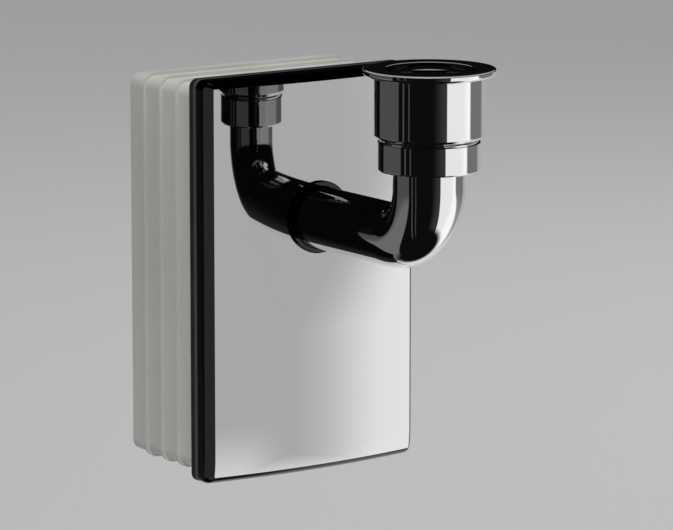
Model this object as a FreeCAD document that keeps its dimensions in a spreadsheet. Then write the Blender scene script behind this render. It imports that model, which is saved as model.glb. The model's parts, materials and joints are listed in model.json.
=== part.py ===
"""Concealed washbasin trap: chrome inlet and bend, wall cover, and a U bend in a box inside the wall.

Frame: +X along the wall, +Y into the wall, +Z up, millimetres. The origin is the mouth of the
inlet thread, on the riser's axis. The run is the horizontal part of the chrome bend.
"""
import math
import os
import re

import FreeCAD
import Part
import Sketcher

# Driving sizes: alias -> (value or formula, meaning)
SIZES = {
    "run_od": (32, "outer diameter of the horizontal run"),
    "riser_od": (36, "outer diameter of the riser"),
    "chrome_wall": (1.5, "wall of the chrome tubes"),
    "bend_radius": (28, "centreline radius of the chrome bend"),
    "run_drop": (84, "run axis below the inlet mouth"),
    "riser_top": (20, "top of the riser below the inlet mouth"),
    "run_r": ("=run_od / 2", "outer radius of the run"),
    "riser_r": ("=riser_od / 2", "outer radius of the riser"),
    "slide_gap": (0.3, "clearance of a sliding or turning fit"),
    "sleeve_od": (55, "inlet sleeve"),
    "sleeve_length": (31, "inlet sleeve, without its spigot"),
    "thread_r": (20.6, "inlet thread, drawn as a clear cylinder"),
    "thread_depth": (14, "inlet mouth to the ledge that carries the gasket"),
    "spigot_r": (22.5, "outer radius of the sleeve's threaded spigot"),
    "spigot_length": (12, "length of that spigot"),
    "flange_od": (66, "flange under the basin"),
    "flange_thickness": (3.5, "flange under the basin"),
    "nut_od": (51, "compression nut"),
    "nut_length": (15.2, "compression nut"),
    "nut_gap": (1, "gap between sleeve and nut"),
    "nut_lip": (1.5, "floor of the nut, and thickness of the slip ring"),
    "thread_gap": (0.2, "radial clearance of a simplified thread"),
    "plate_y": (95, "riser axis to the middle of the cover's face"),
    "wall_y": (116, "riser axis to the finished wall"),
    "cover_width": (130, "cover plate"),
    "cover_height": (208, "cover plate"),
    "cover_below": (134, "bottom of the cover below the run axis"),
    "cover_back": (110, "back edge of the cover"),
    "cover_sheet": (1.5, "thickness of the cover"),
    "cover_crown": (400, "radius of the cover's face about a vertical axis"),
    "cover_corner": (4.5, "outline corner radius"),
    "cover_edge": (4, "rounding of the cover's front edge"),
    "crown_rise": ("=cover_crown - sqrt(cover_crown^2 - (cover_width / 2)^2)", "crown of the face"),
    "inner_crown": ("=cover_crown - cover_sheet", "radius of the inside of the face"),
    "inner_rise": ("=cover_crown - sqrt(inner_crown^2 - (cover_width / 2 - 2 * cover_sheet)^2)",
                   "depth of the inside of the face near its edges"),
    "cover_bottom": ("=-run_drop - cover_below", "height of the cover's bottom edge"),
    "rosette_od": (37.5, "ring on the face of the cover"),
    "rosette_length": (1.6, "ring on the face of the cover"),
    "pipe_hole_r": (17.4, "hole in the cover"),
    "frame_thickness": (2.5, "mounting frame"),
    "frame_width": (14, "width of the frame's border"),
    "seal_thickness": ("=wall_y - cover_back - frame_thickness", "rubber between frame and wall"),
    "stud_r": (2, "cover studs"),
    "stud_foot": ("=plate_y + crown_rise + 0.8", "front end of the studs, on the inside of the face"),
    "stud_x": (56, "cover studs and frame screws, from the middle"),
    "stud_low": (50, "lower studs above the cover's bottom"),
    "stud_high": (158, "upper studs above the cover's bottom"),
    "screw_r": (1.6, "frame screws"),
    "screw_head_r": (3.2, "frame screws"),
    "screw_length": (18, "frame screws, without the head"),
    "screw_inset": (11, "frame screws from the cover's top and bottom"),
    "box_width": (124, "box in the wall"),
    "box_height": (199, "box in the wall"),
    "box_depth": (60, "box in the wall"),
    "box_wall": (2.5, "box in the wall"),
    "box_corner": (6, "outline corners of the box"),
    "rib_height": (1.5, "stiffening ribs around the box"),
    "rib_width": (2, "stiffening ribs around the box"),
    "box_bottom": ("=cover_bottom + 5", "height of the box's underside"),
    "fixing_r": (2.75, "fixing holes in the back of the box"),
    "fixing_x": (45, "fixing holes from the middle"),
    "fixing_low": (20, "lower fixing holes above the box's underside"),
    "fixing_high": (180, "upper fixing holes above the box's underside"),
    "leg_y": (152, "riser axis to the plane of the U bend"),
    "leg_r": (14, "outer radius of the plastic tube"),
    "leg_bore": (12, "inner radius of the plastic tube"),
    "leg_spacing": (40, "down leg to up leg"),
    "elbow_radius": (18, "centreline radius of the inlet elbow"),
    "outlet_radius": (18, "centreline radius of the outlet elbow"),
    "u_radius": ("=leg_spacing / 2", "centreline radius of the U bend"),
    "u_low": (102, "lowest centreline of the U bend below the run axis"),
    "u_centre": ("=-run_drop - u_low + u_radius", "height of the U bend's centre"),
    "outlet_z": ("=-run_drop - 24", "height of the outlet axis"),
    "collar_r": (17, "threaded collar on the U bend"),
    "collar_top": ("=-run_drop - 60", "top of that collar"),
    "collar_depth": (12, "depth of that collar's socket"),
    "socket_r": (17.5, "outer radius of the outlet socket"),
    "socket_low": ("=-run_drop - 66", "mouth of the outlet socket"),
    "socket_depth": (20, "length of the outlet socket"),
    "run_end": (124, "inner end of the run"),
    "inlet_socket_front": (101, "mouth of the inlet socket"),
    "inlet_socket_floor": (131, "floor of the inlet socket"),
    "inlet_socket_r": (18.5, "outer radius of the inlet socket"),
    "inlet_bell_r": (21, "outer radius of the bell around the lip seal"),
    "bell_length": (12, "length of that bell"),
    "cap_front": (124, "front end of the cleaning boss"),
    "boss_r": (13, "cleaning boss on the U bend"),
    "boss_bore": (9, "bore of the cleaning boss"),
    "adaptor_r": (20, "outlet spigot for 40 mm pipe"),
    "adaptor_end": (96, "free end of the outlet spigot"),
    "adaptor_start": (64, "inner end of the outlet adaptor"),
}

doc = FreeCAD.newDocument("trap")
sheet = doc.addObject("Spreadsheet::Sheet", "Sizes")
for row, (alias, (size, meaning)) in enumerate(SIZES.items(), start=1):
    sheet.set(f"A{row}", meaning)
    sheet.set(f"B{row}", str(size))
    sheet.setAlias(f"B{row}", alias)
doc.recompute()

SUBPARTS = []

# Rotations that point a piece's own +Z along a direction of the assembly
UP = FreeCAD.Rotation()
DOWN = FreeCAD.Rotation(FreeCAD.Vector(1, 0, 0), 180)
INTO_WALL = FreeCAD.Rotation(FreeCAD.Vector(1, 0, 0), -90)
OUT_OF_WALL = FreeCAD.Rotation(FreeCAD.Vector(1, 0, 0), 90)
RIGHT = FreeCAD.Rotation(FreeCAD.Vector(0, 1, 0), 90)

# Planes of the three plastic bends: a torus starts on its own +X and turns about its own +Z
INLET_TURN = RIGHT * FreeCAD.Rotation(FreeCAD.Vector(0, 0, 1), 90)
U_TURN = OUT_OF_WALL * FreeCAD.Rotation(FreeCAD.Vector(0, 0, 1), 180)
OUTLET_TURN = OUT_OF_WALL * FreeCAD.Rotation(FreeCAD.Vector(0, 0, 1), 90)


def bound(text):
    """Formula over the size aliases, written for the expression engine."""
    return re.sub(r"[a-z_]\w*", lambda word: f"Sizes.{word[0]}" if word[0] in SIZES else word[0], str(text))


def size_of(text):
    """Number that a formula over the size aliases gives now."""
    return float(sheet.evalExpression(bound(text)))


def bind(target, **formulas):
    """Bind properties to formulas."""
    for name, text in formulas.items():
        target.setExpression(name, bound(text))


def place(target, position, rotation=UP):
    """Put an object at a position given as three formulas."""
    target.Placement = FreeCAD.Placement(FreeCAD.Vector(*map(size_of, position)), rotation)
    for letter, text in zip("xyz", position):
        target.setExpression(f"Placement.Base.{letter}", bound(text))


def finished(target, label):
    """Register an object as a sub-part of the assembly."""
    target.Label = label
    SUBPARTS.append(target)
    return target


# ---------------------------------------------------------------- sketches and features

def new_sketch(body, name, role):
    """Empty sketch on one of the body's own origin planes."""
    plane = next(f for f in body.Origin.OriginFeatures if f.Role == role)
    sketch = body.newObject("Sketcher::SketchObject", name)
    sketch.AttachmentSupport = [(plane, "")]
    sketch.MapMode = "FlatFace"
    return sketch


def pin(sketch, kind, picks, text):
    """Add one dimension to a sketch and bind it to a formula."""
    index = sketch.addConstraint(Sketcher.Constraint(kind, *picks, size_of(text)))
    sketch.setExpression(f"Constraints[{index}]", bound(text))


def pin_point(sketch, geometry, end, point):
    """Fix one end, or the centre, of an edge at a point given as two formulas."""
    for kind, text in zip(("DistanceX", "DistanceY"), point):
        pin(sketch, kind, (-1, 1, geometry, end), text)


def polygon(body, name, role, corners):
    """Closed outline of straight lines, each corner given as two formulas."""
    sketch = new_sketch(body, name, role)
    points = [FreeCAD.Vector(size_of(u), size_of(v), 0) for u, v in corners]
    for index, point in enumerate(points):
        sketch.addGeometry(Part.LineSegment(point, points[(index + 1) % len(points)]))
    for index, corner in enumerate(corners):
        sketch.addConstraint(Sketcher.Constraint("Coincident", index, 2, (index + 1) % len(points), 1))
        pin_point(sketch, index, 1, corner)
    return sketch


def circles(body, name, role, centres, radius):
    """Equal circles for a bore or a set of holes."""
    sketch = new_sketch(body, name, role)
    for index, (u, v) in enumerate(centres):
        centre = FreeCAD.Vector(size_of(u), size_of(v), 0)
        sketch.addGeometry(Part.Circle(centre, FreeCAD.Vector(0, 0, 1), size_of(radius)))
        pin_point(sketch, index, 3, (u, v))
        pin(sketch, "Radius", (index,), radius)
    return sketch


def feature(body, kind, sketch, length=None, reverse=False):
    """Pad, pocket or revolve a sketch; a revolved sketch turns about its own vertical axis."""
    step = body.newObject(f"PartDesign::{kind}", f"{sketch.Name}_{kind}")
    step.Profile = sketch
    if kind == "Revolution":
        step.ReferenceAxis = (sketch, ["V_Axis"])
        step.Angle = 360
    else:
        bind(step, Length=length)
        step.Reversed = reverse
    sketch.Visibility = False
    doc.recompute()
    return step


def round_edges(body, base, radius, wanted):
    """Fillet the edges of a step that a test picks."""
    step = body.newObject("PartDesign::Fillet", f"{base.Name}_round")
    names = [f"Edge{n}" for n, edge in enumerate(base.Shape.Edges, start=1) if wanted(edge)]
    step.Base = (base, names)
    bind(step, Radius=radius)
    doc.recompute()
    return step


def turned(label, profile, position, rotation=UP):
    """Ring or bush: a profile of (radius, height) formulas turned about the piece's own +Z."""
    body = doc.addObject("PartDesign::Body", label)
    feature(body, "Revolution", polygon(body, f"{label}_profile", "XZ_Plane", profile))
    place(body, position, rotation)
    return finished(body, label)


def flat_ring(label, inner, outer, length, position, rotation=UP):
    """Plain ring of rectangular section."""
    profile = [(inner, "0"), (outer, "0"), (outer, length), (inner, length)]
    return turned(label, profile, position, rotation)


# ---------------------------------------------------------------- solids and booleans

def cylinder(name, radius, length, position, rotation=UP):
    """Solid cylinder that starts at a position and runs along the rotated +Z."""
    solid = doc.addObject("Part::Cylinder", name)
    bind(solid, Radius=radius, Height=length)
    place(solid, position, rotation)
    return solid


def block(name, width, depth, height, position):
    """Solid block with its low corner at a position."""
    solid = doc.addObject("Part::Box", name)
    bind(solid, Length=width, Width=depth, Height=height)
    place(solid, position)
    return solid


def arc_rod(name, bend, radius, degrees, centre, rotation):
    """Round rod bent about the rotated +Z, starting on the rotated +X."""
    solid = doc.addObject("Part::Torus", name)
    bind(solid, Radius1=bend, Radius2=radius)
    solid.Angle3 = degrees
    place(solid, centre, rotation)
    return solid


def joined(name, solids):
    """Union of several solids."""
    union = doc.addObject("Part::MultiFuse", name)
    union.Shapes = solids
    union.Refine = True
    return union


def cut(label, solids, holes):
    """Union of solids less the union of holes, as a sub-part."""
    result = doc.addObject("Part::Cut", label)
    result.Base = joined(f"{label}_solid", solids) if len(solids) > 1 else solids[0]
    result.Tool = joined(f"{label}_holes", holes) if len(holes) > 1 else holes[0]
    result.Refine = True
    return finished(result, label)


def grouped(label, solids):
    """Equal loose solids kept together as one sub-part."""
    group = doc.addObject("Part::Compound", label)
    group.Links = solids
    return finished(group, label)


# ---------------------------------------------------------------- chrome inlet

def inlet_pieces():
    """Flange, sleeve, gasket, nut, slip ring and cone seal, all on the riser's axis."""
    flat_ring("basin_flange", "thread_r + 1", "flange_od / 2", "flange_thickness", ("0", "0", "0"))
    bore = "riser_r + slide_gap"
    outer = "sleeve_od / 2"
    turned("inlet_sleeve", [
        ("thread_r", "0"), (f"{outer} - 0.8", "0"), (outer, "0.8"),
        (outer, "sleeve_length - 2"), (f"{outer} - 2", "sleeve_length"),
        ("spigot_r", "sleeve_length"), ("spigot_r", "sleeve_length + spigot_length"),
        ("spigot_r - 1", "sleeve_length + spigot_length"),
        (bore, "sleeve_length + spigot_length - 5"), (bore, "thread_depth"),
        ("thread_r + 0.4", "thread_depth"), ("thread_r + 0.4", "thread_depth - 2"),
        ("thread_r", "thread_depth - 2"),
    ], ("0", "0", "0"), DOWN)
    flat_ring("inlet_gasket", "riser_r - 1", "thread_r + 0.2", "2", ("0", "0", "-thread_depth"))
    nut_bottom = "-(sleeve_length + nut_gap + nut_length)"
    turned("compression_nut", [
        (bore, "0"), ("nut_od / 2 - 1", "0"), ("nut_od / 2", "1"),
        ("nut_od / 2", "nut_length - 1"), ("nut_od / 2 - 1", "nut_length"),
        ("spigot_r + thread_gap", "nut_length"), ("spigot_r + thread_gap", "nut_lip"),
        (bore, "nut_lip"),
    ], ("0", "0", nut_bottom))
    flat_ring("slip_ring", bore, "spigot_r - 0.2", "nut_lip", ("0", "0", f"{nut_bottom} + nut_lip"))
    tight = "riser_r + 0.05"
    turned("cone_seal", [
        (tight, "0"), ("spigot_r - 0.3", "0"), ("spigot_r - 0.3", "1.1"), ("spigot_r - 1.3", "1.1"),
        (f"{tight} + 0.65", "5.3"), (tight, "5.3"),
    ], ("0", "0", f"{nut_bottom} + 2 * nut_lip"))


def bend_section(name, step, steps, inset):
    """Circle across the chrome bend, part of the way from the run to the riser."""
    angle = math.pi / 2 * step / steps
    blend = (1 - math.cos(math.pi * step / steps)) / 2
    ring = doc.addObject("Part::Circle", name)
    bind(ring, Radius=f"run_r + (riser_r - run_r) * {blend} - {inset}")
    place(ring, ("0", f"bend_radius * (1 - {math.sin(angle)})",
                 f"-run_drop + bend_radius * (1 - {math.cos(angle)})"),
          FreeCAD.Rotation(FreeCAD.Vector(1, 0, 0), 90 - math.degrees(angle)))
    return ring


def bend_core(name, inset):
    """Solid run, reducing bend and riser, smaller than the outside by an inset."""
    steps = 8
    elbow = doc.addObject("Part::Loft", f"{name}_elbow")
    elbow.Sections = [bend_section(f"{name}_ring{step}", step, steps, inset) for step in range(steps + 1)]
    elbow.Solid = True
    run = cylinder(f"{name}_run", f"run_r - {inset}", "run_end - bend_radius",
                   ("0", "bend_radius", "-run_drop"), INTO_WALL)
    riser = cylinder(f"{name}_riser", f"riser_r - {inset}", "run_drop - bend_radius - riser_top",
                     ("0", "0", "-run_drop + bend_radius"))
    return joined(name, [run, elbow, riser])


def bend_pipe():
    """Chrome tube: riser, bend and run."""
    cut("bend_pipe", [bend_core("bend_outside", "0")], [bend_core("bend_inside", "chrome_wall")])


# ---------------------------------------------------------------- wall cover

def crown_outline(body, name, corners, crown):
    """Cover section: straight back and sides, and a crowned front between the end corners."""
    sketch = new_sketch(body, name, "XY_Plane")
    points = [FreeCAD.Vector(size_of(u), size_of(v), 0) for u, v in corners]
    lines = len(points) - 1
    for index in range(lines):
        sketch.addGeometry(Part.LineSegment(points[index], points[index + 1]))
    for index in range(1, lines):
        pin_point(sketch, index, 1, corners[index])
        sketch.addConstraint(Sketcher.Constraint("Coincident", index - 1, 2, index, 1))
    centre = FreeCAD.Vector(size_of("cover_width / 2"), size_of("cover_crown"), 0)
    circle = Part.Circle(centre, FreeCAD.Vector(0, 0, 1), size_of(crown))
    ends = [math.atan2(point.y - centre.y, point.x - centre.x) for point in (points[-1], points[0])]
    sketch.addGeometry(Part.ArcOfCircle(circle, *ends))
    sketch.addConstraint(Sketcher.Constraint("Coincident", lines, 1, lines - 1, 2))
    sketch.addConstraint(Sketcher.Constraint("Coincident", lines, 2, 0, 1))
    pin_point(sketch, lines, 3, ("cover_width / 2", "cover_crown"))
    pin(sketch, "DistanceX", (-1, 1, 0, 1), corners[0][0])
    pin(sketch, "DistanceX", (-1, 1, lines - 1, 2), corners[-1][0])
    pin(sketch, "Radius", (lines,), crown)
    return sketch


def cover_plate():
    """Crowned tray with rounded edges, open at the back, with a hole for the run."""
    body = doc.addObject("PartDesign::Body", "cover_plate")
    depth = "cover_back - plate_y"
    outside = crown_outline(body, "cover_outside", [
        ("cover_width", "crown_rise"), ("cover_width", depth), ("0", depth), ("0", "crown_rise"),
    ], "cover_crown")
    tray = feature(body, "Pad", outside, "cover_height")
    across = FreeCAD.Vector(0, 1, 0)
    tray = round_edges(body, tray, "cover_corner", lambda edge: edge.Curve.TypeId == "Part::GeomLine"
                       and abs(edge.tangentAt(edge.FirstParameter).dot(across)) > 0.99)
    back = size_of(depth)
    tray = round_edges(body, tray, "cover_edge", lambda edge: edge.CenterOfMass.y < back / 2
                       and abs(edge.BoundBox.YMax - back) > 0.1)
    sheet_in = "cover_sheet"
    chamfer = "2 * cover_sheet"
    inside = crown_outline(body, "cover_inside", [
        (f"cover_width - {chamfer}", "inner_rise"), (f"cover_width - {sheet_in}", f"inner_rise + {sheet_in}"),
        (f"cover_width - {sheet_in}", f"{depth} + 1"), (sheet_in, f"{depth} + 1"),
        (sheet_in, f"inner_rise + {sheet_in}"), (chamfer, "inner_rise"),
    ], "inner_crown")
    bind(inside, **{"AttachmentOffset.Base.z": "cover_sheet"})
    feature(body, "Pocket", inside, "cover_height - 2 * cover_sheet", reverse=True)
    hole = circles(body, "cover_hole", "XZ_Plane", [("cover_width / 2", "cover_below")], "pipe_hole_r")
    feature(body, "Pocket", hole, depth)
    place(body, ("-cover_width / 2", "plate_y", "cover_bottom"))
    finished(body, "cover_plate")


def border(label, thickness, front, holes):
    """Rounded rectangular border behind the cover, with sets of holes given as (centres, radius)."""
    body = doc.addObject("PartDesign::Body", label)
    outline = polygon(body, f"{label}_outline", "XZ_Plane", [
        ("0", "0"), ("cover_width", "0"), ("cover_width", "cover_height"), ("0", "cover_height")])
    plate = feature(body, "Pad", outline, thickness, reverse=True)
    plate = round_edges(body, plate, "cover_corner", lambda edge: edge.BoundBox.YLength > 1)
    window = polygon(body, f"{label}_window", "XZ_Plane", [
        ("frame_width", "frame_width"), ("cover_width - frame_width", "frame_width"),
        ("cover_width - frame_width", "cover_height - frame_width"),
        ("frame_width", "cover_height - frame_width")])
    feature(body, "Pocket", window, thickness)
    for number, (centres, radius) in enumerate(holes):
        drilled = circles(body, f"{label}_holes{number}", "XZ_Plane", centres, radius)
        feature(body, "Pocket", drilled, thickness)
    place(body, ("-cover_width / 2", front, "cover_bottom"))
    return finished(body, label)


def four(low, high):
    """Sideways and upward formulas, from the cover's corner, of four points left and right."""
    return [(f"cover_width / 2 {side} stud_x", height) for side in "-+" for height in (low, high)]


STUDS = four("stud_low", "stud_high")
SCREWS = four("screw_inset", "cover_height - screw_inset")


def on_cover(point, depth):
    """Position in the assembly of a point given from the cover's lower left corner."""
    return (f"{point[0]} - cover_width / 2", depth, f"{point[1]} + cover_bottom")


def cover_fixings():
    """Frame, wall seal, studs with their clips, and the screws of the frame."""
    border("mounting_frame", "frame_thickness", "cover_back",
           [(STUDS, "stud_r + slide_gap"), (SCREWS, "screw_r + slide_gap")])
    border("wall_seal", "seal_thickness", "cover_back + frame_thickness",
           [(STUDS, "stud_r + 1.6"), (SCREWS, "screw_r + slide_gap")])
    studs = []
    clips = []
    screws = []
    for number, point in enumerate(STUDS):
        foot = on_cover(point, "stud_foot")
        pin = cylinder(f"stud_pin{number}", "stud_r", "wall_y + 5 - stud_foot", foot, INTO_WALL)
        pad = cylinder(f"stud_pad{number}", "2 * stud_r", "2", foot, INTO_WALL)
        studs.append(joined(f"stud{number}", [pin, pad]))
        start = on_cover(point, "cover_back + frame_thickness")
        ring = cylinder(f"clip_ring{number}", "stud_r + 1.4", "seal_thickness + 2", start, INTO_WALL)
        eye = cylinder(f"clip_eye{number}", "stud_r + 0.1", "seal_thickness + 2", start, INTO_WALL)
        clip = doc.addObject("Part::Cut", f"clip{number}")
        clip.Base = ring
        clip.Tool = eye
        clips.append(clip)
    for number, point in enumerate(SCREWS):
        under_head = on_cover(point, "cover_back")
        shank = cylinder(f"screw_shank{number}", "screw_r", "screw_length", under_head, INTO_WALL)
        on_head = on_cover(point, "cover_back - 2")
        head = cylinder(f"screw_head{number}", "screw_head_r", "2", on_head, INTO_WALL)
        screws.append(joined(f"screw{number}", [shank, head]))
    grouped("cover_studs", studs)
    grouped("stud_clips", clips)
    grouped("frame_screws", screws)


def run_rings():
    """Rosette on the cover's face and the grommet in the cover's hole."""
    turned("wall_rosette", [
        ("run_r + slide_gap", "0"), ("rosette_od / 2", "0"), ("rosette_od / 2", "rosette_length - 0.5"),
        ("rosette_od / 2 - 0.5", "rosette_length"), ("run_r + slide_gap", "rosette_length"),
    ], ("0", "plate_y", "-run_drop"), OUT_OF_WALL)
    flat_ring("rosette_grommet", "run_r + 0.15", "pipe_hole_r - 0.1", "2.5",
              ("0", "plate_y", "-run_drop"), INTO_WALL)


# ---------------------------------------------------------------- box and water seal in the wall

def rounded_block(name, inset, front, depth, corner):
    """Block inside the box's outline, less an inset, with rounded upright corners."""
    body = doc.addObject("PartDesign::Body", name)
    width = f"box_width - 2 * ({inset})"
    height = f"box_height - 2 * ({inset})"
    outline = polygon(body, f"{name}_outline", "XZ_Plane", [
        ("0", "0"), (width, "0"), (width, height), ("0", height)])
    solid = feature(body, "Pad", outline, depth, reverse=True)
    round_edges(body, solid, corner, lambda edge: edge.BoundBox.YLength > 1)
    place(body, (f"-box_width / 2 + ({inset})", front, f"box_bottom + ({inset})"))
    return body


def rough_in_box():
    """Open-fronted box with screw bosses, fixing holes and a side hole for the outlet."""
    outer = rounded_block("box_outer", "0", "wall_y", "box_depth", "box_corner")
    ribs = [rounded_block(f"box_rib{number}", "-rib_height", f"wall_y + {number} * box_depth / 4", "rib_width",
                          "box_corner + rib_height") for number in (1, 2, 3)]
    inner = rounded_block("box_inner", "box_wall", "wall_y - box_wall", "box_depth", "box_corner - box_wall")
    shell = doc.addObject("Part::Cut", "box_shell")
    shell.Base = joined("box_outside", [outer] + ribs)
    shell.Tool = inner
    bosses = []
    holes = []
    for number, point in enumerate(SCREWS):
        bosses.append(cylinder(f"boss{number}", "screw_r + 2.4", "screw_length + 4", on_cover(point, "wall_y"),
                               INTO_WALL))
        holes.append(cylinder(f"boss_hole{number}", "screw_r + 0.05", "screw_length + 1",
                              on_cover(point, "wall_y - 1"), INTO_WALL))
    for side in "-+":
        for height in ("fixing_low", "fixing_high"):
            holes.append(cylinder(f"fixing{len(holes)}", "fixing_r", "2 * box_wall",
                                  (f"{side}fixing_x", "wall_y + box_depth - 1.5 * box_wall",
                                   f"box_bottom + {height}"), INTO_WALL))
    holes.append(cylinder("outlet_hole", "leg_r + 2.5", "3 * box_wall",
                          ("box_width / 2 - 2 * box_wall", "leg_y", "outlet_z"), RIGHT))
    cut("rough_in_box", [shell] + bosses, holes)


def inlet_elbow():
    """Socket for the run, then a plastic bend down to the U bend's collar."""
    leg_end = "collar_top - collar_depth + 2"
    corner = ("0", "leg_y - elbow_radius", "-run_drop - elbow_radius")
    mouth = ("0", "inlet_socket_front", "-run_drop")
    leg = ("0", "leg_y", leg_end)
    leg_length = f"-run_drop - elbow_radius - ({leg_end})"
    socket_depth = "inlet_socket_floor - inlet_socket_front"
    solids = [
        cylinder("elbow_bell", "inlet_bell_r", "bell_length", mouth, INTO_WALL),
        cylinder("elbow_socket", "inlet_socket_r", f"{socket_depth} + 3", mouth, INTO_WALL),
        arc_rod("elbow_turn", "elbow_radius", "leg_r", 90, corner, INLET_TURN),
        cylinder("elbow_leg", "leg_r", leg_length, leg),
    ]
    holes = [
        cylinder("elbow_bell_bore", "inlet_bell_r - 2", "bell_length - 3", mouth, INTO_WALL),
        cylinder("elbow_socket_bore", "run_r + slide_gap", socket_depth, mouth, INTO_WALL),
        cylinder("elbow_throat", "leg_bore", "leg_y - elbow_radius - inlet_socket_floor + 1",
                 ("0", "inlet_socket_floor - 1", "-run_drop"), INTO_WALL),
        arc_rod("elbow_turn_bore", "elbow_radius", "leg_bore", 90, corner, INLET_TURN),
        cylinder("elbow_leg_bore", "leg_bore", leg_length, leg),
    ]
    cut("inlet_elbow", solids, holes)
    flat_ring("inlet_lip_seal", "run_r + 0.05", "inlet_bell_r - 2.1", "bell_length - 5.5",
              ("0", "inlet_socket_front + 2.3", "-run_drop"), INTO_WALL)
    flat_ring("gland_ring", "run_r + slide_gap", "inlet_bell_r - 2.05", "2",
              ("0", "inlet_socket_front + 0.1", "-run_drop"), INTO_WALL)


def trap_bend():
    """U bend with a threaded collar on the down leg and a cleaning boss at the bottom."""
    foot = "collar_top - collar_depth"
    centre = ("u_radius", "leg_y", "u_centre")
    up_leg_top = "socket_low + socket_depth - 4"
    boss = ("u_radius", "cap_front", "u_centre - u_radius")
    solids = [
        cylinder("u_collar", "collar_r", "collar_depth + 3", ("0", "leg_y", f"{foot} - 3")),
        cylinder("u_down", "leg_r", f"{foot} - u_centre", ("0", "leg_y", "u_centre")),
        arc_rod("u_turn", "u_radius", "leg_r", 180, centre, U_TURN),
        cylinder("u_up", "leg_r", f"{up_leg_top} - u_centre", ("leg_spacing", "leg_y", "u_centre")),
        cylinder("u_boss", "boss_r", "leg_y - cap_front", boss, INTO_WALL),
    ]
    holes = [
        cylinder("u_collar_bore", "leg_r + slide_gap", "collar_depth", ("0", "leg_y", foot)),
        cylinder("u_down_bore", "leg_bore", f"{foot} - u_centre", ("0", "leg_y", "u_centre")),
        arc_rod("u_turn_bore", "u_radius", "leg_bore", 180, centre, U_TURN),
        cylinder("u_up_bore", "leg_bore", f"{up_leg_top} - u_centre", ("leg_spacing", "leg_y", "u_centre")),
        cylinder("u_boss_bore", "boss_bore", "leg_y - cap_front", boss, INTO_WALL),
    ]
    cut("trap_bend", solids, holes)
    flat_ring("leg_washer", "leg_r + 0.1", "collar_r - 0.2", "2", ("0", "leg_y", "collar_top"))
    turned("leg_nut", [
        ("collar_r + thread_gap", "0"), ("collar_r + 2.5", "0"), ("collar_r + 2.5", "13"),
        ("collar_r + 1.5", "14"), ("leg_r + slide_gap", "14"), ("leg_r + slide_gap", "12"),
        ("collar_r + thread_gap", "12"),
    ], ("0", "leg_y", "collar_top - 10"))
    flat_ring("cap_washer", "boss_bore", "boss_r - 0.1", "1.5", boss, OUT_OF_WALL)
    turned("cleaning_cap", [
        ("boss_r + thread_gap", "0"), ("boss_r + 3", "0"), ("boss_r + 3", "9"), ("boss_r + 2", "10"),
        ("0", "10"), ("0", "8"), ("boss_r + thread_gap", "8"),
    ], ("u_radius", "cap_front + 6.5", "u_centre - u_radius"), OUT_OF_WALL)


def outlet_pieces():
    """Socket over the up leg, bend to the side, and the widened spigot outside the box."""
    top = "socket_low + socket_depth"
    corner = ("leg_spacing + outlet_radius", "leg_y", "outlet_z - outlet_radius")
    start = ("leg_spacing + outlet_radius", "leg_y", "outlet_z")
    socket = ("leg_spacing", "leg_y", "socket_low")
    riser = ("leg_spacing", "leg_y", top)
    rise = f"outlet_z - outlet_radius - ({top})"
    reach = "adaptor_start + 12 - leg_spacing - outlet_radius"
    solids = [
        cylinder("outlet_socket", "socket_r", "socket_depth", socket),
        cylinder("outlet_rise", "leg_r", rise, riser),
        arc_rod("outlet_turn", "outlet_radius", "leg_r", 90, corner, OUTLET_TURN),
        cylinder("outlet_reach", "leg_r", reach, start, RIGHT),
    ]
    holes = [
        cylinder("outlet_socket_bore", "leg_r + slide_gap", "socket_depth - 2", socket),
        cylinder("outlet_seal_groove", "socket_r - 1.2", "6", socket),
        cylinder("outlet_rise_bore", "leg_bore", f"{rise} + 2", ("leg_spacing", "leg_y", f"{top} - 2")),
        arc_rod("outlet_turn_bore", "outlet_radius", "leg_bore", 90, corner, OUTLET_TURN),
        cylinder("outlet_reach_bore", "leg_bore", reach, start, RIGHT),
    ]
    cut("outlet_elbow", solids, holes)
    flat_ring("outlet_lip_seal", "leg_r + 0.05", "socket_r - 1.25", "5",
              ("leg_spacing", "leg_y", "socket_low + 0.5"))
    flat_ring("outlet_grommet", "leg_r + 0.1", "leg_r + 2.4", "box_wall + 2",
              ("box_width / 2 - box_wall - 1", "leg_y", "outlet_z"), RIGHT)
    turned("outlet_adaptor", [
        ("leg_r + 0.1", "0"), ("leg_r + 2", "0"), ("leg_r + 2", "10"), ("adaptor_r", "14"),
        ("adaptor_r", "adaptor_end - adaptor_start - 1.5"), ("adaptor_r - 1.5", "adaptor_end - adaptor_start"),
        ("adaptor_r - 2", "adaptor_end - adaptor_start"), ("adaptor_r - 2", "14"),
        ("leg_bore", "13"), ("leg_r + 0.1", "12.1"),
    ], ("adaptor_start", "leg_y", "outlet_z"), RIGHT)


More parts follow.
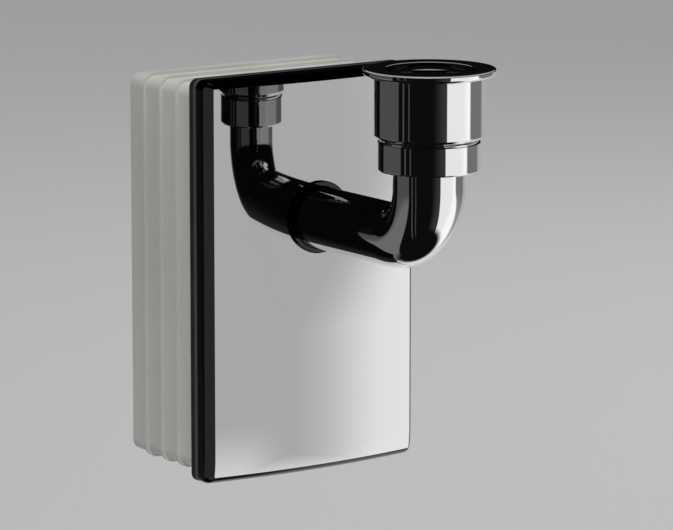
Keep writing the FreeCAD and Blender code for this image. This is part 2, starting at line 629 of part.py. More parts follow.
def saddle_pieces():
    """Bracket that holds the inlet elbow's leg off the back of the box, and its screws."""
    back = "wall_y + box_depth - box_wall"
    height = "14"
    low = "-run_drop - 44"
    saddle = block("saddle_block", "2 * leg_r + 28", f"{back} - leg_y", height, ("-leg_r - 14", "leg_y", low))
    relief_left = block("saddle_left", "11", f"{back} - leg_y - 4", height, ("-leg_r - 14", "leg_y", low))
    relief_right = block("saddle_right", "11", f"{back} - leg_y - 4", height, ("leg_r + 3", "leg_y", low))
    channel = cylinder("saddle_channel", "leg_r + 0.05", height, ("0", "leg_y", low))
    screws = []
    holes = []
    for side in "-+":
        x = f"{side}(leg_r + 8.5)"
        middle = f"{low} + {height} / 2"
        holes.append(cylinder(f"saddle_hole{len(holes)}", "1.9", "6", (x, f"{back} - 5", middle), INTO_WALL))
        shank = cylinder(f"saddle_shank{len(screws)}", "1.6", "4", (x, f"{back} - 4", middle), INTO_WALL)
        head = cylinder(f"saddle_head{len(screws)}", "3.2", "2", (x, f"{back} - 6", middle), INTO_WALL)
        screws.append(joined(f"saddle_screw{len(screws)}", [shank, head]))
    cut("pipe_saddle", [saddle], [relief_left, relief_right, channel] + holes)
    grouped("saddle_screws", screws)


inlet_pieces()
bend_pipe()
cover_plate()
cover_fixings()
run_rings()
rough_in_box()
inlet_elbow()
trap_bend()
outlet_pieces()
saddle_pieces()
doc.recompute()

for item in doc.Objects:
    if "Invalid" in item.State or "Error" in item.State:
        raise RuntimeError(f"{item.Label} did not compute")
os.makedirs("parts", exist_ok=True)
for subpart in SUBPARTS:
    if subpart.Shape.isNull() or not subpart.Shape.isValid():
        raise RuntimeError(f"{subpart.Label} has no valid shape")
    box = subpart.Shape.optimalBoundingBox()
    print(f"{subpart.Label}: {len(subpart.Shape.Solids)} solid, {subpart.Shape.Volume:.0f} mm3, "
          f"X {box.XMin:.2f}..{box.XMax:.2f} Y {box.YMin:.2f}..{box.YMax:.2f} Z {box.ZMin:.2f}..{box.ZMax:.2f}")
    subpart.Shape.exportStep(f"parts/{subpart.Label}.step")
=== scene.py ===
"""Looks of the concealed washbasin trap: mirror-plated pieces rebuilt with exact normals, and a material
with real surface detail on every piece.

Frame as in the CAD model, in metres: +X along the wall, +Y into the wall, +Z up, origin at the inlet mouth.
"""

import json
import math

import bpy
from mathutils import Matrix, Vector


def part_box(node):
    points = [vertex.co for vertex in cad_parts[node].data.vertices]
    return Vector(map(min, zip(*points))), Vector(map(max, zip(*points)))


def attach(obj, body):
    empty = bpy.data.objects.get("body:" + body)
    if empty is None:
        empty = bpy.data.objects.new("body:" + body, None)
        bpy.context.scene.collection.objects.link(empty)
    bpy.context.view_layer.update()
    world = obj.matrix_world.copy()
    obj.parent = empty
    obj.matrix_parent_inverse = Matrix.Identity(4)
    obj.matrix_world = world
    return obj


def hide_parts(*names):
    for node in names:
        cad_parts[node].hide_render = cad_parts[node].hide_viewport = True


MM = 0.001
SEGMENTS = 192                  # points around every ring
CORNER_STEPS = 5                # strips across every rounded corner of a turned piece
SOFT_CORNER = 0.25 * MM         # rounding of a corner that states none
PANEL_DEPTH = 2.5               # mirrored panels give light only below this ray depth

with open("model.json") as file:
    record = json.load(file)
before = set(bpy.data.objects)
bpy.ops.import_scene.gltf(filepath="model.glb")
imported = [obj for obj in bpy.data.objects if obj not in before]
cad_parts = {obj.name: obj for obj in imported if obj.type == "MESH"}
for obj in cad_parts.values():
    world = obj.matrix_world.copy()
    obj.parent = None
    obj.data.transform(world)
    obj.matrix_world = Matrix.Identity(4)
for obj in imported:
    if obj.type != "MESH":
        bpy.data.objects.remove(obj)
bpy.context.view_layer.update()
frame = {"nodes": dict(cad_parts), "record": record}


# ---------------------------------------------------------------- meshes with exact normals

def skin(name, rings, strips, material):
    """Mesh of quads between closed rings of points.

    A strip is (ring a, ring b, normals along a, normals along b), so neighbouring strips can meet
    smoothly or in a crisp edge.
    """
    count = len(rings[0])
    points = [point for ring in rings for point in ring]
    faces = []
    normals = []
    for a, b, along_a, along_b in strips:
        first = (rings[a][1] - rings[a][0]).cross(rings[b][0] - rings[a][0])
        outward = first.dot(along_a[0] + along_b[0]) >= 0
        for j in range(count):
            k = (j + 1) % count
            corners = [(a, j, along_a), (a, k, along_a), (b, k, along_b), (b, j, along_b)]
            if not outward:
                corners.reverse()
            faces.append([ring * count + index for ring, index, _ in corners])
            normals.extend(along[index] for _, index, along in corners)
    mesh = bpy.data.meshes.new(name)
    mesh.from_pydata(points, [], faces)
    mesh.shade_smooth()
    mesh.normals_split_custom_set(normals)
    piece = bpy.data.objects.new(name, mesh)
    bpy.context.scene.collection.objects.link(piece)
    mesh.materials.append(material)
    return piece


def rounded_profile(corners):
    """Points and outward normals of a closed (radius, height) polygon with every corner rounded.

    A corner is (radius, height) or (radius, height, rounding).
    """
    points = [Vector(corner[:2]) for corner in corners]
    count = len(points)
    area = sum(points[i].x * points[(i + 1) % count].y - points[(i + 1) % count].x * points[i].y
               for i in range(count))
    turn = 1 if area > 0 else -1
    outline = []
    for i, corner in enumerate(corners):
        here = points[i]
        to_last = points[i - 1] - here
        to_next = points[(i + 1) % count] - here
        room = 0.45 * min(to_last.length, to_next.length)
        to_last.normalize()
        to_next.normalize()
        half = to_last.angle(to_next) / 2
        rounding = corner[2] if len(corner) > 2 else SOFT_CORNER
        reach = min(rounding / math.tan(half), room)
        radius = reach * math.tan(half)
        centre = here + (to_last + to_next).normalized() * radius / math.sin(half)
        side = Vector((-to_last.y, to_last.x)) * turn
        start = here + to_last * reach - centre
        end = here + to_next * reach - centre
        facing = 1 if start.dot(side) > 0 else -1
        sweep = start.angle_signed(end)
        for step in range(CORNER_STEPS + 1):
            angle = -sweep * step / CORNER_STEPS
            spoke = Vector((start.x * math.cos(angle) - start.y * math.sin(angle),
                            start.x * math.sin(angle) + start.y * math.cos(angle)))
            outline.append((centre + spoke, spoke.normalized() * facing))
    return outline


def turned(name, profile, origin, axis, material):
    """Ring-shaped piece: a (radius, height) profile turned about an axis through a point."""
    axis = Vector(axis)
    across = axis.orthogonal().normalized()
    other = axis.cross(across)
    outline = rounded_profile(profile)
    spokes = [across * math.cos(angle) + other * math.sin(angle)
              for angle in (2 * math.pi * j / SEGMENTS for j in range(SEGMENTS))]
    rings = [[Vector(origin) + spoke * point.x + axis * point.y for spoke in spokes]
             for point, _ in outline]
    lines = [[(spoke * normal.x + axis * normal.y) for spoke in spokes]
             for _, normal in outline]
    strips = [(i, (i + 1) % len(rings), lines[i], lines[(i + 1) % len(rings)]) for i in range(len(rings))]
    return skin(name, rings, strips, material)


# ---------------------------------------------------------------- material nodes

def new_material(name, colour, metallic, roughness, ior=1.5):
    """Principled material with its constant values on the shader's own sockets."""
    material = bpy.data.materials.new(name)
    material.use_nodes = True
    shader = material.node_tree.nodes["Principled BSDF"]
    shader.inputs["Base Color"].default_value = (*colour, 1)
    shader.inputs["Metallic"].default_value = metallic
    shader.inputs["Roughness"].default_value = roughness
    shader.inputs["IOR"].default_value = ior
    return material, material.node_tree, shader


def node(tree, kind, **settings):
    """Add a node and set its input sockets by name."""
    made = tree.nodes.new(kind)
    for socket, value in settings.items():
        made.inputs[socket.replace("_", " ")].default_value = value
    return made


def noise(tree, scale, detail=3.0, stretch=(1, 1, 1)):
    """Noise over the object's own coordinates, scale in bumps per metre."""
    place = tree.nodes.new("ShaderNodeTexCoord")
    mapping = node(tree, "ShaderNodeMapping", Scale=stretch)
    pattern = node(tree, "ShaderNodeTexNoise", Scale=scale, Detail=detail)
    tree.links.new(place.outputs["Object"], mapping.inputs["Vector"])
    tree.links.new(mapping.outputs["Vector"], pattern.inputs["Vector"])
    return pattern.outputs["Fac"]


def spread(tree, factor, low, high):
    """Remap a 0 to 1 pattern to a range of values."""
    remap = node(tree, "ShaderNodeMapRange", To_Min=low, To_Max=high)
    remap.inputs["From Min"].default_value = 0.3
    remap.inputs["From Max"].default_value = 0.7
    tree.links.new(factor, remap.inputs["Value"])
    return remap.outputs["Result"]


def tint(tree, factor, dark, light):
    """Colour that runs from dark to light with a pattern."""
    ramp = tree.nodes.new("ShaderNodeValToRGB")
    ramp.color_ramp.elements[0].position = 0.3
    ramp.color_ramp.elements[0].color = (*dark, 1)
    ramp.color_ramp.elements[1].position = 0.7
    ramp.color_ramp.elements[1].color = (*light, 1)
    tree.links.new(factor, ramp.inputs["Fac"])
    return ramp.outputs["Color"]


def bump(tree, shader, factor, depth):
    """Raise the surface by a pattern, depth in metres."""
    relief = node(tree, "ShaderNodeBump", Strength=1.0, Distance=depth)
    tree.links.new(factor, relief.inputs["Height"])
    tree.links.new(relief.outputs["Normal"], shader.inputs["Normal"])


def maths(tree, operation, *inputs):
    """Math node fed by sockets or numbers, in order."""
    made = tree.nodes.new("ShaderNodeMath")
    made.operation = operation
    for socket, value in zip(made.inputs, inputs):
        if isinstance(value, (int, float)):
            socket.default_value = value
        else:
            tree.links.new(value, socket)
    return made.outputs[0]


def ease(tree, value, low, high):
    """0 below low, 1 above high, smooth between; low and high are sockets or numbers."""
    remap = tree.nodes.new("ShaderNodeMapRange")
    remap.interpolation_type = "SMOOTHSTEP"
    for name, limit in (("From Min", low), ("From Max", high)):
        if isinstance(limit, (int, float)):
            remap.inputs[name].default_value = limit
        else:
            tree.links.new(limit, remap.inputs[name])
    tree.links.new(value, remap.inputs["Value"])
    return remap.outputs["Result"]


def shade(colour, amount):
    """Colour made lighter or darker by a factor."""
    return tuple(min(1.0, channel * amount) for channel in colour)


def mirror_plating(name, colour):
    """Polished plating: faint wipe marks in the gloss and a slight unevenness of tone."""
    material, tree, shader = new_material(name, colour, 1.0, 0.03)
    marks = noise(tree, 60, 5, (1, 1, 0.25))
    tree.links.new(spread(tree, marks, 0.015, 0.045), shader.inputs["Roughness"])
    clouds = noise(tree, 22, 2)
    tree.links.new(tint(tree, clouds, shade(colour, 0.975), shade(colour, 1.01)), shader.inputs["Base Color"])
    return material


def sheen_painted_plating(name, dull, painted_sheen_colour):
    """Polished plating of the cover's face, with a painted sheen in its colour that runs from the duller base
    tone to a brighter tone.

    The painted sheen is brighter at the lower right, in a narrow band along the foot, and at the foot's left
    end; it stands in for the room's reflection, not for a change in the plating.
    """
    sheen_draws_back_above = -143 * MM    # the painted sheen narrows to the right above this height
    sheen_narrowing = -0.68               # how far it narrows for each unit of height
    material, tree, shader = new_material(name, dull, 1.0, 0.03)
    marks = noise(tree, 60, 5, (1, 1, 0.25))
    tree.links.new(spread(tree, marks, 0.015, 0.045), shader.inputs["Roughness"])
    place = tree.nodes.new("ShaderNodeTexCoord")
    parts = tree.nodes.new("ShaderNodeSeparateXYZ")
    tree.links.new(place.outputs["Object"], parts.inputs["Vector"])
    upper = maths(tree, "MAXIMUM", maths(tree, "ADD", parts.outputs["Z"], -sheen_draws_back_above), 0)
    slant = maths(tree, "MULTIPLY_ADD", upper, sheen_narrowing, parts.outputs["X"])
    painted_sheen_lower_right = ease(tree, slant, -21 * MM, 44 * MM)
    below = maths(tree, "MULTIPLY", parts.outputs["Z"], -1)
    painted_sheen_along_foot = ease(tree, below, 205 * MM, 217 * MM)
    left_end = maths(tree, "SUBTRACT", 1, ease(tree, parts.outputs["X"], -50 * MM, -15 * MM))
    painted_sheen_left_foot = maths(tree, "MULTIPLY", ease(tree, below, 184 * MM, 222 * MM), left_end)
    # painted sheen: brighter at the lower right, along the foot and at the foot's left end
    painted_sheen_mask = maths(tree, "MAXIMUM", painted_sheen_lower_right, maths(tree, "MAXIMUM", painted_sheen_along_foot, painted_sheen_left_foot))
    clouds = maths(tree, "MULTIPLY_ADD", noise(tree, 22, 2), 0.05, painted_sheen_mask)
    ramp = tree.nodes.new("ShaderNodeValToRGB")
    ramp.color_ramp.elements[0].color = (*dull, 1)
    ramp.color_ramp.elements[1].color = (*painted_sheen_colour, 1)
    tree.links.new(clouds, ramp.inputs["Fac"])
    tree.links.new(ramp.outputs["Color"], shader.inputs["Base Color"])
    return material


def moulded_plastic(name, colour, roughness, grain):
    """Injection-moulded plastic: flow streaks in tone and gloss, and a fine grain."""
    material, tree, shader = new_material(name, colour, 0.0, roughness, 1.49)
    streaks = noise(tree, 18, 4, (1, 1, 0.35))
    tree.links.new(tint(tree, streaks, shade(colour, 0.9), shade(colour, 1.04)), shader.inputs["Base Color"])
    patches = noise(tree, 90, 3)
    tree.links.new(spread(tree, patches, roughness * 0.8, roughness * 1.2), shader.inputs["Roughness"])
    bump(tree, shader, noise(tree, 2600, 2), grain)
    return material


def soft_rubber(name, colour):
    """Black rubber: bloom in the tone and a soft matt grain."""
    material, tree, shader = new_material(name, colour, 0.0, 0.55, 1.52)
    bloom = noise(tree, 70, 5)
    tree.links.new(tint(tree, bloom, shade(colour, 0.7), shade(colour, 1.7)), shader.inputs["Base Color"])
    tree.links.new(spread(tree, bloom, 0.45, 0.7), shader.inputs["Roughness"])
    bump(tree, shader, noise(tree, 3500, 2), 0.00003)
    return material


def plated_steel(name, colour):
    """Zinc-plated steel: fine drawn lines and mottled gloss."""
    material, tree, shader = new_material(name, colour, 1.0, 0.3)
    lines = noise(tree, 900, 2, (1, 0.05, 1))
    tree.links.new(spread(tree, lines, 0.2, 0.42), shader.inputs["Roughness"])
    mottle = noise(tree, 160, 3)
    tree.links.new(tint(tree, mottle, shade(colour, 0.8), shade(colour, 1.1)), shader.inputs["Base Color"])
    bump(tree, shader, lines, 0.00001)
    return material


TUBE_CHROME = mirror_plating("tube_chrome", (0.88, 0.88, 0.885))
# the cover's face carries a painted sheen in its base colour
COVER_CHROME_WITH_PAINTED_SHEEN = sheen_painted_plating("cover_chrome_painted_sheen", (0.425, 0.425, 0.43), (0.72, 0.72, 0.725))
# near-black plating: painted shade for the dark edge of the cover and the ring at the run
EDGE_CHROME_PAINTED_SHADE = mirror_plating("edge_chrome_painted_shade", (0.04, 0.04, 0.042))
RUBBER = soft_rubber("black_rubber", (0.018, 0.018, 0.019))
STEEL = plated_steel("zinc_steel", (0.62, 0.62, 0.60))
WHITE = moulded_plastic("white_tube_plastic", (0.74, 0.75, 0.74), 0.28, 0.00001)
GREY = moulded_plastic("grey_frame_plastic", (0.075, 0.077, 0.08), 0.4, 0.00002)
DARK = moulded_plastic("dark_nut_plastic", (0.045, 0.05, 0.055), 0.38, 0.00002)
BOX = moulded_plastic("box_plastic", (0.62, 0.61, 0.58), 0.5, 0.00004)

FINISHES = {
    "rubber": RUBBER,
    "steel": STEEL,
    "white_plastic": WHITE,
    "grey_plastic": GREY,
    "dark_plastic": DARK,
    "box_plastic": BOX,
    "chrome": TUBE_CHROME,
}


def finish_cad_nodes():
    """Give every CAD node the full material of its slot in the record."""
    for entry in frame["record"]["subparts"]:
        piece = frame["nodes"][entry["node"]]
        for socket in piece.material_slots:
            socket.material = FINISHES[entry["material_slot"]]


# ---------------------------------------------------------------- chrome inlet

def stand_for(piece, body, *nodes):
    """Show a chrome piece in place of CAD nodes, riding on their body."""
    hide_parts(*nodes)
    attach(piece, body)


def radius_of(name):
    """Outer radius of a ring on the riser's axis."""
    low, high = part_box(name)
    return (high[0] - low[0]) / 2


def basin_flange():
    """Thin flange against the underside of the basin."""
    low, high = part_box("basin_flange")
    outer = radius_of("basin_flange")
    top = high[2] - low[2]
    inner = 21.6 * MM
    chamfer = 1.2 * MM
    piece = turned("flange_ring", [
        (inner, 0), (outer - chamfer, 0, 1 * MM), (outer, chamfer, 1 * MM), (outer, top, 0.8 * MM),
        (inner, top),
    ], (0, 0, low[2]), (0, 0, 1), TUBE_CHROME)
    stand_for(piece, "sleeve", "basin_flange")


def inlet_sleeve():
    """Collar with a chamfered foot, an inside thread and a threaded spigot for the nut."""
    low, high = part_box("inlet_sleeve")
    outer = radius_of("inlet_sleeve")
    foot = 31 * MM
    spigot = 22.5 * MM
    bore = 18.3 * MM
    thread = 20.6 * MM
    pitch = 2.309 * MM
    groove = 0.55 * MM
    length = high[2] - low[2]
    profile = [(outer - 0.8 * MM, 0), (outer, 0.8 * MM), (outer, foot - 1.6 * MM, 0.5 * MM),
               (outer - 1.7 * MM, foot, 0.5 * MM), (spigot, foot, 0.2 * MM)]
    for step in range(4):
        root = foot + 2 * MM + step * pitch
        profile += [(spigot, root, 0.1 * MM), (spigot - groove, root + 0.5 * pitch, 0.1 * MM)]
    profile += [(spigot, length), (spigot - 1 * MM, length), (bore, length - 5 * MM), (bore, 14 * MM),
                (thread + 0.4 * MM, 14 * MM), (thread + 0.4 * MM, 12 * MM), (thread, 12 * MM)]
    for step in reversed(range(4)):
        root = 1.6 * MM + step * pitch
        profile += [(thread, root + 0.5 * pitch, 0.1 * MM), (thread + groove, root, 0.1 * MM)]
    profile += [(thread, 0.6 * MM), (thread + 0.6 * MM, 0)]
    piece = turned("collar", profile, (0, 0, high[2]), (0, 0, -1), TUBE_CHROME)
    stand_for(piece, "sleeve", "inlet_sleeve")


def compression_nut():
    """Smooth ring nut with softened edges."""
    low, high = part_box("compression_nut")
    outer = radius_of("compression_nut")
    length = high[2] - low[2]
    bore = 22.7 * MM
    lip = 18.3 * MM
    floor = 1.5 * MM
    piece = turned("ring_nut", [
        (lip, 0), (outer - 0.8 * MM, 0, 0.5 * MM), (outer, 0.8 * MM, 0.5 * MM),
        (outer, length - 0.9 * MM, 0.5 * MM), (outer - 0.9 * MM, length, 0.5 * MM), (bore, length),
        (bore, floor), (lip, floor),
    ], (0, 0, low[2]), (0, 0, 1), TUBE_CHROME)
    stand_for(piece, "nut", "compression_nut")


def bend_station(along, run, turn, radii):
    """Centre, direction and radius of the chrome tube at a distance from its inner end."""
    inner_end, axis_z, bend = turn
    run_radius, riser_radius = radii
    quarter = bend * math.pi / 2
    if along <= run:
        return Vector((0, inner_end - along, axis_z)), Vector((0, -1, 0)), run_radius
    if along < run + quarter:
        share = (along - run) / quarter
        angle = share * math.pi / 2
        centre = Vector((0, bend * (1 - math.sin(angle)), axis_z + bend * (1 - math.cos(angle))))
        blend = (1 - math.cos(math.pi * share)) / 2
        return (centre, Vector((0, -math.cos(angle), math.sin(angle))),
                run_radius + (riser_radius - run_radius) * blend)
    return (Vector((0, 0, axis_z + bend + along - run - quarter)), Vector((0, 0, 1)), riser_radius)


def bend_surface(stations, shrink):
    """Rings and normals of the tube's outside, or of its bore when shrunk by the wall."""
    rings = []
    for centre, direction, radius in stations:
        up = Vector((1, 0, 0)).cross(direction)
        rings.append([centre + (Vector((1, 0, 0)) * math.cos(a) + up * math.sin(a)) * (radius - shrink)
                      for a in (2 * math.pi * j / SEGMENTS for j in range(SEGMENTS))])
    sign = -1 if shrink else 1
    normals = []
    for i, ring in enumerate(rings):
        after = rings[min(i + 1, len(rings) - 1)]
        before = rings[max(i - 1, 0)]
        lines = []
        for j, point in enumerate(ring):
            around = ring[(j + 1) % SEGMENTS] - ring[j - 1]
            line = (after[j] - before[j]).cross(around).normalized()
            outward = (point - stations[i][0]).dot(line) > 0
            lines.append(line * (sign if outward else -sign))
        normals.append(lines)
    return rings, normals


def chrome_bend():
    """Riser, reducing bend and run as one smooth tube with a real wall."""
    low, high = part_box("bend_pipe")
    riser_radius = (high[0] - low[0]) / 2
    run_radius = 16 * MM
    bend = 28 * MM
    wall = 1.5 * MM
    axis_z = low[2] + run_radius
    run = high[1] - bend
    quarter = bend * math.pi / 2
    rise = high[2] - axis_z - bend
    turn = (high[1], axis_z, bend)
    marks = [run * i / 24 for i in range(24)]
    marks += [run + quarter * i / 72 for i in range(72)]
    marks += [run + quarter + rise * i / 10 for i in range(11)]
    stations = [bend_station(mark, run, turn, (run_radius, riser_radius)) for mark in marks]
    outer, outer_lines = bend_surface(stations, 0)
    inner, inner_lines = bend_surface(stations, wall)
    rings = outer + inner
    count = len(outer)
    strips = [(i, i + 1, outer_lines[i], outer_lines[i + 1]) for i in range(count - 1)]
    strips += [(count + i, count + i + 1, inner_lines[i], inner_lines[i + 1]) for i in range(count - 1)]
    start_cap = [Vector((0, 1, 0))] * SEGMENTS
    end_cap = [Vector((0, 0, 1))] * SEGMENTS
    strips += [(0, count, start_cap, start_cap), (count - 1, 2 * count - 1, end_cap, end_cap)]
    piece = skin("chrome_tube", rings, strips, TUBE_CHROME)
    stand_for(piece, "bend", "bend_pipe")


def wall_rosette():
    """Thin ring where the run meets the cover, plated near-black as a painted shade line."""
    low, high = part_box("wall_rosette")
    outer = radius_of("wall_rosette")
    length = high[1] - low[1]
    bore = 16.3 * MM
    centre = (0, high[1], (low[2] + high[2]) / 2)
    rim = 0.5 * MM
    piece = turned("run_ring", [
        (bore, 0), (outer, 0, 0.1 * MM), (outer, length - rim, 0.15 * MM), (outer - rim, length, 0.15 * MM),
        (bore, length, 0.1 * MM),
    ], centre, (0, -1, 0), EDGE_CHROME_PAINTED_SHADE)
    stand_for(piece, "cover", "wall_rosette")


# ---------------------------------------------------------------- wall cover

def outline_loop(width, height, inset, corner):
    """Points of a rounded rectangle about the origin, inset from its edge, with one point count for all."""
    half_x = width / 2 - inset
    half_z = height / 2 - inset
    corner = max(corner - inset, 0.6 * MM)      # never quite sharp
    corner_steps = 10
    edges = [(1, 1, 0), (-1, 1, 90), (-1, -1, 180), (1, -1, 270)]
    corners = []
    for sx, sz, start in edges:
        centre = (sx * (half_x - corner), sz * (half_z - corner))
        for step in range(corner_steps + 1):
            angle = math.radians(start + 90 * step / corner_steps)
            corners.append((centre[0] + corner * math.cos(angle), centre[1] + corner * math.sin(angle)))
    loop = []
    side_steps = [26, 44, 26, 44]
    for number, steps in enumerate(side_steps):
        arc = corners[number * (corner_steps + 1):(number + 1) * (corner_steps + 1)]
        following = corners[((number + 1) % 4) * (corner_steps + 1)]
        loop += arc
        for step in range(1, steps):
            share = step / steps
            loop.append((arc[-1][0] + (following[0] - arc[-1][0]) * share,
                         arc[-1][1] + (following[1] - arc[-1][1]) * share))
    return loop


def wall_cover():
    """Crowned mirror plate with a crisp edge, rounded sides and a folded back."""
    low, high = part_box("cover_plate")
    width = high[0] - low[0]
    height = high[2] - low[2]
    middle_z = (low[2] + high[2]) / 2
    front, back = low[1], high[1]
    crown = 400 * MM
    corner = 4.5 * MM
    sheet = 1.5 * MM
    edge = 4 * MM
    crease = math.radians(24)
    edge_arc = edge / (1 - math.sin(crease))
    hole = 17.4 * MM
    run_z = -84 * MM
    hole_z = run_z - middle_z

    roll = 10 * MM              # the foot rolls back over this height
    roll_radius = 55 * MM

    def into_roll(z):
        return max(0.0, -z - (height / 2 - edge - roll))

    def face(x, z):
        return front + crown - math.sqrt(crown ** 2 - x ** 2) + into_roll(z) ** 2 / (2 * roll_radius)

    def face_normal(x, z):
        slope_x = x / math.sqrt(crown ** 2 - x ** 2)
        return Vector((slope_x, -1, -into_roll(z) / roll_radius)).normalized()

    def ring(loop, depth):
        return [Vector((x, depth(x, z), z + middle_z)) for x, z in loop]

    def to_hole(loop, share, radius):
        points = []
        for x, z in loop:
            away = Vector((x, z - hole_z)).normalized() * radius
            points.append((x + (away.x - x) * share, z + (away.y + hole_z - z) * share))
        return points

    rim = outline_loop(width, height, 0, corner)
    rings = [ring(rim, lambda x, z: back)]
    edge_steps = 12
    for step in range(edge_steps + 1):
        angle = math.pi / 2 + (crease - math.pi / 2) * step / edge_steps
        inset = edge_arc * (1 - math.sin(angle))
        drop = edge_arc * (math.cos(crease) - math.cos(angle))
        rounded = outline_loop(width, height, inset, corner)
        rings.append(ring(rounded, lambda x, z: min(face(x, z) + drop, back)))
    crisp = len(rings) - 1
    inner_edge = outline_loop(width, height, edge, corner)
    face_steps = 72
    for step in range(1, face_steps + 1):
        rings.append(ring(to_hole(inner_edge, step / face_steps, hole), face))
    hole_front = len(rings) - 1
    inside_edge = outline_loop(width, height, 2 * sheet, corner)
    for step in range(face_steps, -1, -1):
        rings.append(ring(to_hole(inside_edge, step / face_steps, hole), lambda x, z: face(x, z) + sheet))
    inside_end = len(rings) - 1
    inside_wall = outline_loop(width, height, sheet, corner)
    rings.append(ring(inside_wall, lambda x, z: face(x, z) + 2 * sheet))
    rings.append(ring(inside_wall, lambda x, z: back))

    def facet(a, b):
        lines = []
        for j, point in enumerate(rings[a]):
            around = rings[a][(j + 1) % len(rim)] - rings[a][j - 1]
            lines.append(around.cross(rings[b][j] - point).normalized())
        return lines

    def crown_lines(index, sign):
        return [face_normal(point.x, point.z - middle_z) * sign for point in rings[index]]

    def edge_lines(index):
        lines = []
        for j in range(len(rim)):
            around = rings[index][(j + 1) % len(rim)] - rings[index][j - 1]
            before = rings[max(index - 1, 1)][j]
            after = rings[min(index + 1, crisp)][j]
            lines.append(around.cross(after - before).normalized())
        return lines

    strips = []
    for index in range(len(rings)):
        following = (index + 1) % len(rings)
        if crisp <= index < hole_front:
            strips.append((index, following, crown_lines(index, 1), crown_lines(following, 1)))
        elif hole_front < index < inside_end:
            strips.append((index, following, crown_lines(index, -1), crown_lines(following, -1)))
        elif 1 <= index < crisp:
            strips.append((index, following, edge_lines(index), edge_lines(following)))
        else:
            lines = facet(index, following)
            strips.append((index, following, lines, lines))
    piece = skin("mirror_cover", rings, strips, COVER_CHROME_WITH_PAINTED_SHEEN)
    # painted shade: the rounded edge and back rim are plated near-black to stand for the dark gap and shadow
    # at the cover's edge
    piece.data.materials.append(EDGE_CHROME_PAINTED_SHADE)    # the back rim and the rounded edge, built first
    for polygon in piece.data.polygons[:crisp * len(rim)]:
        polygon.material_index = 1
    stand_for(piece, "cover", "cover_plate")


# ---------------------------------------------------------------- studio

def softbox(name, position, target, size, power, seen_in_gloss=False):
    """Soft area light aimed at a point."""
    light = bpy.data.lights.new(name, "AREA")
    light.shape = "RECTANGLE"
    light.size, light.size_y = size
    light.energy = power
    lamp = bpy.data.objects.new(name, light)
    lamp.location = position
    lamp.rotation_euler = (Vector(target) - Vector(position)).to_track_quat("-Z", "Y").to_euler()
    lamp.visible_glossy = seen_in_gloss
    lamp.visible_camera = False
    bpy.context.scene.collection.objects.link(lamp)
    return lamp


def mirrored_panel(name, position, target, size, power, piece):
    """Pale panel that lights one mirror piece alone, so that it looks polished from other sides too."""
    lamp = softbox(name, position, target, size, power, seen_in_gloss=True)
    lamp.data.use_nodes = True
    tree = lamp.data.node_tree
    depth = tree.nodes.new("ShaderNodeLightPath").outputs["Ray Depth"]
    tree.links.new(maths(tree, "LESS_THAN", depth, PANEL_DEPTH), tree.nodes["Emission"].inputs["Strength"])
    receivers = bpy.data.collections.new(name)
    receivers.objects.link(bpy.data.objects[piece])
    lamp.light_linking.receiver_collection = receivers


def daylight(strength):
    """Broad even light from above that keeps the floor one tone."""
    light = bpy.data.lights.new("daylight", "SUN")
    light.energy = strength
    light.angle = math.radians(70)
    lamp = bpy.data.objects.new("daylight", light)
    lamp.rotation_euler = (math.radians(20), math.radians(-12), 0)
    lamp.visible_glossy = False
    bpy.context.scene.collection.objects.link(lamp)


def studio_floor(level):
    """Plain pale floor well below the piece, kept out of its reflections."""
    mesh = bpy.data.meshes.new("floor")
    reach = 12
    corners = [(-1, -1), (1, -1), (1, 1), (-1, 1)]
    mesh.from_pydata([(x * reach, y * reach, level) for x, y in corners], [], [(0, 1, 2, 3)])
    floor = bpy.data.objects.new("floor", mesh)
    bpy.context.scene.collection.objects.link(floor)
    mesh.materials.append(new_material("floor_paper", (0.62, 0.625, 0.63), 0.0, 0.9)[0])
    floor.visible_glossy = False


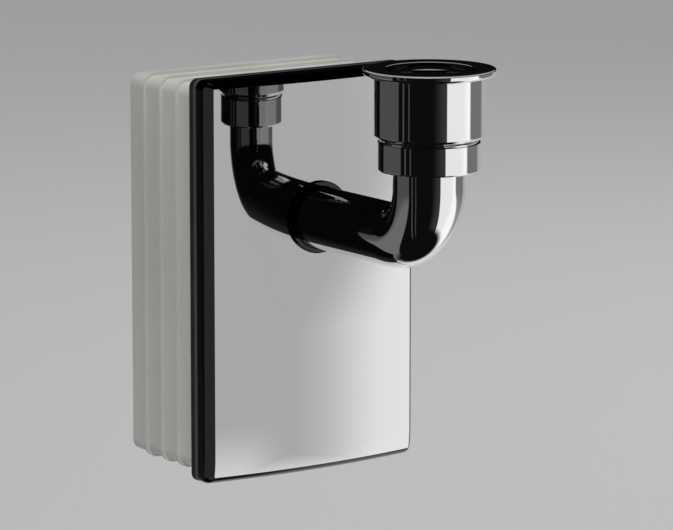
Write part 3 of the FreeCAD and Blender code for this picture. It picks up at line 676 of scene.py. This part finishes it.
def studio_world():
    """Surroundings that the plating mirrors: a window to the right, a pale wall, a dark room and ceiling.

    Bearings are in degrees, 0 straight out of the wall and + to the right; steep is how many degrees
    a direction points below the level at which the camera sees the upright pieces mirror the room.
    """
    world = bpy.data.worlds.new("studio")
    world.use_nodes = True
    tree = world.node_tree
    direction = tree.nodes.new("ShaderNodeTexCoord")
    parts = tree.nodes.new("ShaderNodeSeparateXYZ")
    tree.links.new(direction.outputs["Generated"], parts.inputs["Vector"])
    x, y, z = (parts.outputs[letter] for letter in "XYZ")
    degrees = 180 / math.pi
    outward = maths(tree, "MULTIPLY", y, -1)
    bearing = maths(tree, "MULTIPLY", maths(tree, "ARCTAN2", x, outward), degrees)
    height = maths(tree, "MULTIPLY", maths(tree, "ARCSINE", z), degrees)
    steep = maths(tree, "MAXIMUM", maths(tree, "SUBTRACT", -10, height), 0)
    steep_squared = maths(tree, "MULTIPLY", steep, steep)

    # The window's two sides and the near end of the wall on the left lean as they go down
    window_left = maths(tree, "MULTIPLY", steep_squared, 0.006)
    window_right = maths(tree, "ADD", steep, 55)
    wall_left = maths(tree, "MULTIPLY_ADD", steep_squared, -0.018, -104)

    def window_side(side, soft):
        return ease(tree, bearing, side, maths(tree, "ADD", side, soft))

    glow = maths(tree, "MULTIPLY", ease(tree, bearing, -30, 0), 0.035)
    past_window = window_side(window_right, 5)
    window = maths(tree, "SUBTRACT", window_side(window_left, 2), past_window)
    shine = maths(tree, "MULTIPLY_ADD", ease(tree, bearing, 36, 54), 0.16, 0.86)
    beyond = maths(tree, "ADD", maths(tree, "MULTIPLY_ADD", steep, 0.008, 0.14),
                   maths(tree, "MULTIPLY", ease(tree, bearing, 95, 106), 0.25))
    left = maths(tree, "SUBTRACT", 1, window_side(wall_left, 3))
    left_level = maths(tree, "MULTIPLY_ADD", ease(tree, steep, 0, 8), 0.08, 0.07)
    level = maths(tree, "MULTIPLY_ADD", window, shine, glow)
    level = maths(tree, "MULTIPLY_ADD", past_window, beyond, level)
    level = maths(tree, "MULTIPLY_ADD", left, left_level, level)

    # Two narrow upright lines of light in the dark part of the room
    for middle, strength in ((-91, 0.09), (-78.5, 0.06)):
        off = maths(tree, "ABSOLUTE", maths(tree, "SUBTRACT", bearing, middle))
        line = maths(tree, "SUBTRACT", 1, ease(tree, off, 0.5, 2))
        level = maths(tree, "MULTIPLY_ADD", line, strength, level)

    # Dark straight down and level with the basin, with a soft light overhead and a trace of light everywhere
    level = maths(tree, "MULTIPLY", level, ease(tree, height, -63, -52))
    under_basin = maths(tree, "SUBTRACT", 1, ease(tree, height, -6, 0))
    overhead = maths(tree, "MULTIPLY", ease(tree, height, 62, 85), 0.3)
    level = maths(tree, "MULTIPLY_ADD", level, under_basin, overhead)
    level = maths(tree, "ADD", level, 0.004)

    # The camera itself sees a plain backdrop
    backdrop = 0.55
    seen = tree.nodes.new("ShaderNodeLightPath").outputs["Is Camera Ray"]
    level = maths(tree, "MULTIPLY_ADD", maths(tree, "SUBTRACT", backdrop, level), seen, level)
    tree.links.new(level, tree.nodes["Background"].inputs["Color"])
    bpy.context.scene.world = world


def studio_lights():
    """Soft light for the plastic and the floor, and the panels that the mirror pieces reflect."""
    middle = (0, 0.1, -0.1)
    cover = (0, 0.085, -0.11)
    softbox("key", (-1.6, -1.8, 2.2), middle, (1.6, 1.6), 35)
    softbox("fill", (2.4, 1.4, 1.8), middle, (2.0, 2.0), 25)
    daylight(1.8)
    mirrored_panel("left_panel", (-1.92, -1.53, -0.35), cover, (7.2, 4.2), 44, "mirror_cover")
    mirrored_panel("low_panel", (0, -0.75, -2.0), cover, (4, 1.6), 9, "mirror_cover")
    mirrored_panel("high_panel", (0, 0, 1.3), (0, 0, 0), (9, 9), 90, "flange_ring")


def photo_camera():
    """Camera at the photograph's viewing angle and distance, framed closer."""
    heading = math.radians(35.2)
    distance = 2.146
    left_of_riser = 0.041
    above_inlet = 0.300
    ahead = Vector((math.sin(heading), math.cos(heading), 0))
    right = Vector((math.cos(heading), -math.sin(heading), 0))
    position = Vector((0, 0, above_inlet)) - ahead * distance - right * left_of_riser
    data = bpy.data.cameras.new("camera")
    data.lens = 236
    camera = bpy.data.objects.new("camera", data)
    camera.location = position
    aim = Vector((0.004, 0.085, -0.108))
    camera.rotation_euler = (aim - position).to_track_quat("-Z", "Y").to_euler()
    bpy.context.scene.collection.objects.link(camera)
    bpy.context.scene.camera = camera


finish_cad_nodes()
basin_flange()
inlet_sleeve()
compression_nut()
chrome_bend()
wall_rosette()
wall_cover()
studio_floor(-0.6)
studio_world()
studio_lights()
photo_camera()
bpy.context.scene.view_settings.view_transform = "Standard"
